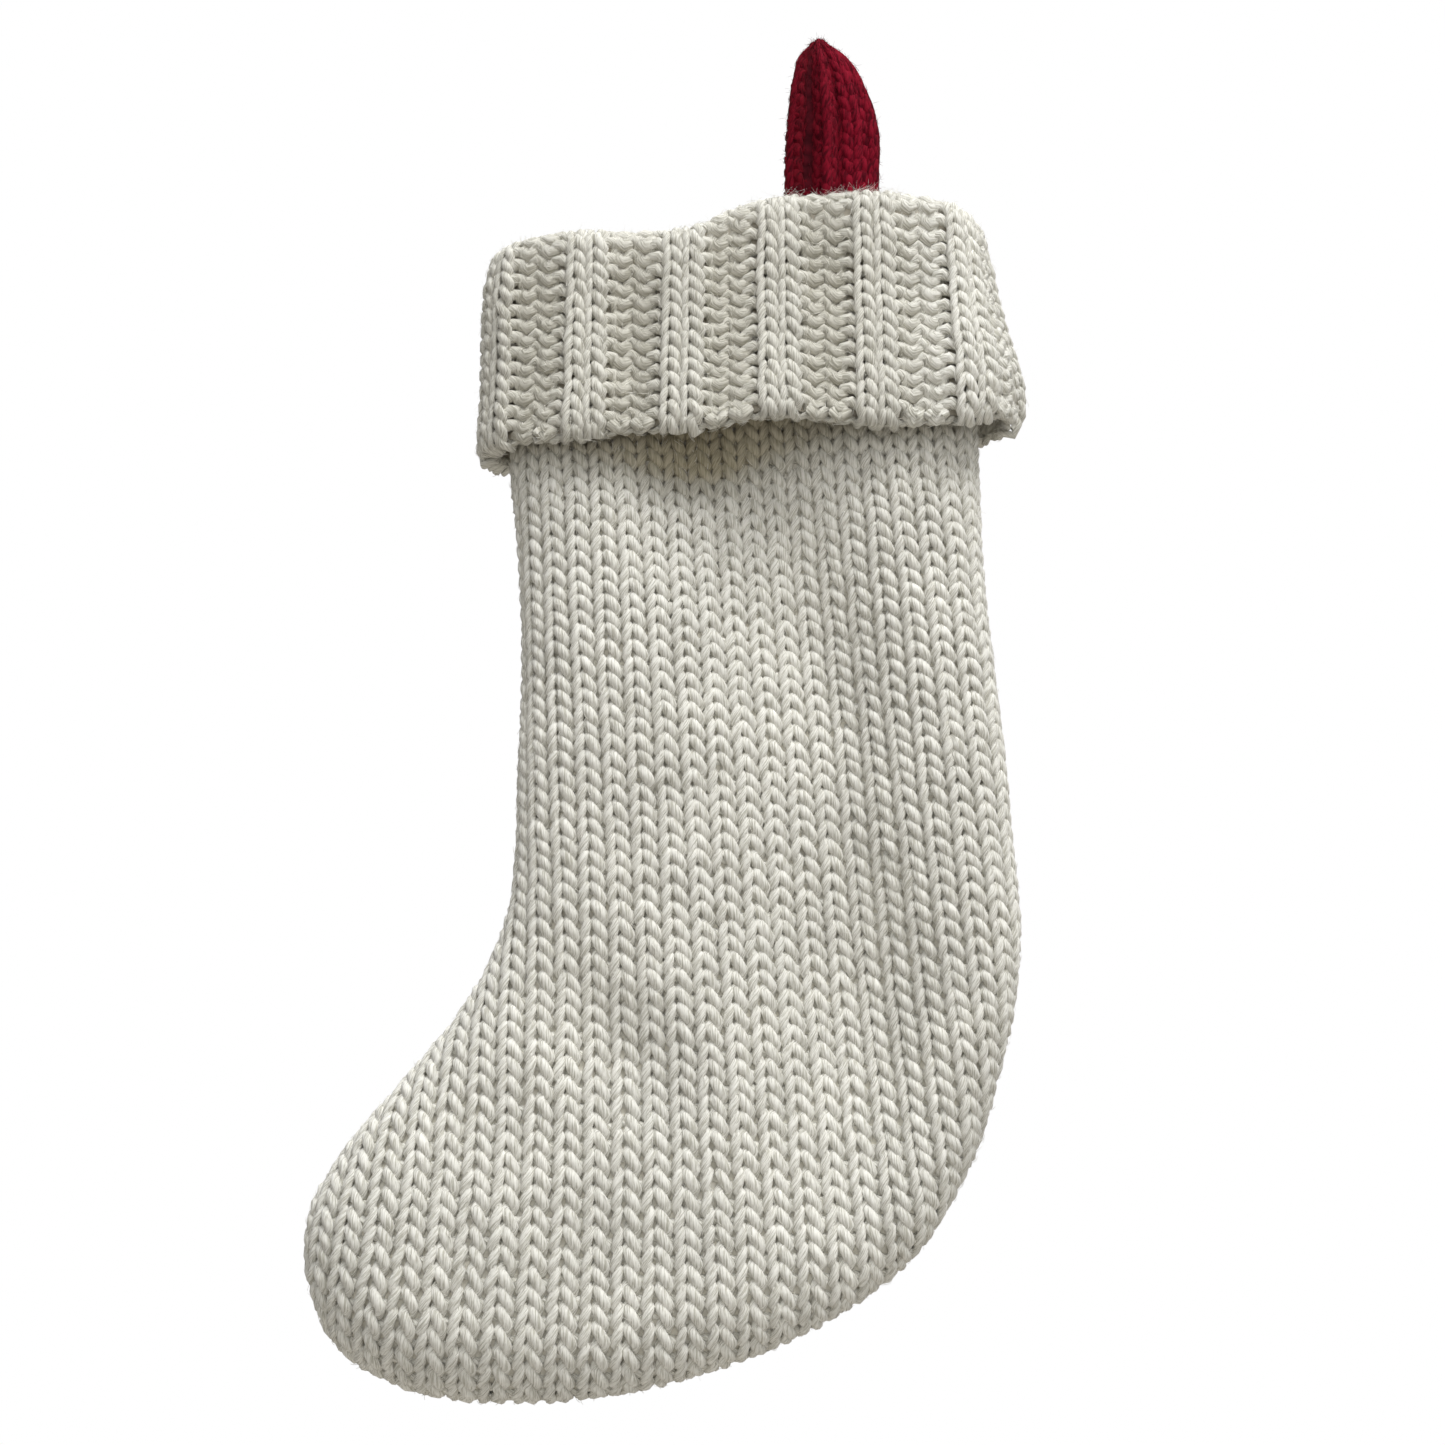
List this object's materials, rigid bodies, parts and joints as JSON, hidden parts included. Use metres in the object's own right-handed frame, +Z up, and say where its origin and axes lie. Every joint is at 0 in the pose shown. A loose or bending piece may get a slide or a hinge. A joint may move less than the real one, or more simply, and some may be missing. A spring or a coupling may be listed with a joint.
{
  "type": "hanging stocking",
  "caption": "Unlined knitted stocking with a turned-down ribbed cuff, hung from a folded strap loop that flops fore and aft at the rim.",
  "frame": {"origin": "inside top of the strap loop's eye, where the hook carries the stocking", "axes": "+Z up, -X towards the toe, -Y towards the viewer of the front face, eye of the loop along X"},
  "size_m": [0.2679, 0.0584, 0.5262],
  "materials": {
    "cream_knit": "lustrous acrylic stockinette, soft sheen",
    "cream_rib": "lustrous acrylic rib knit, slightly fuzzy",
    "red_knit": "crimson knitted strap, matt with a faint sheen",
    "seam_yarn": "cream linking yarn",
    "sewing_thread": "fine twisted thread"
  },
  "bodies": {
    "loop": {"hang_loop": "red_knit"},
    "stocking": {"front_panel": "cream_knit", "back_panel": "cream_knit", "closing_seam": "seam_yarn", "cuff_front": "cream_rib", "cuff_back": "cream_rib", "cuff_seam_left": "seam_yarn", "cuff_seam_right": "seam_yarn", "cuff_join_seam": "seam_yarn", "loop_tails": "red_knit", "loop_tack_stitches": "sewing_thread"}
  },
  "joints": [
    {"name": "loop_flop", "type": "hinge", "parent": "loop", "child": "stocking", "pos_m": [0.002, 0, -0.059], "axis": [1, 0, 0], "range_deg": [-90, 90]}
  ]
}
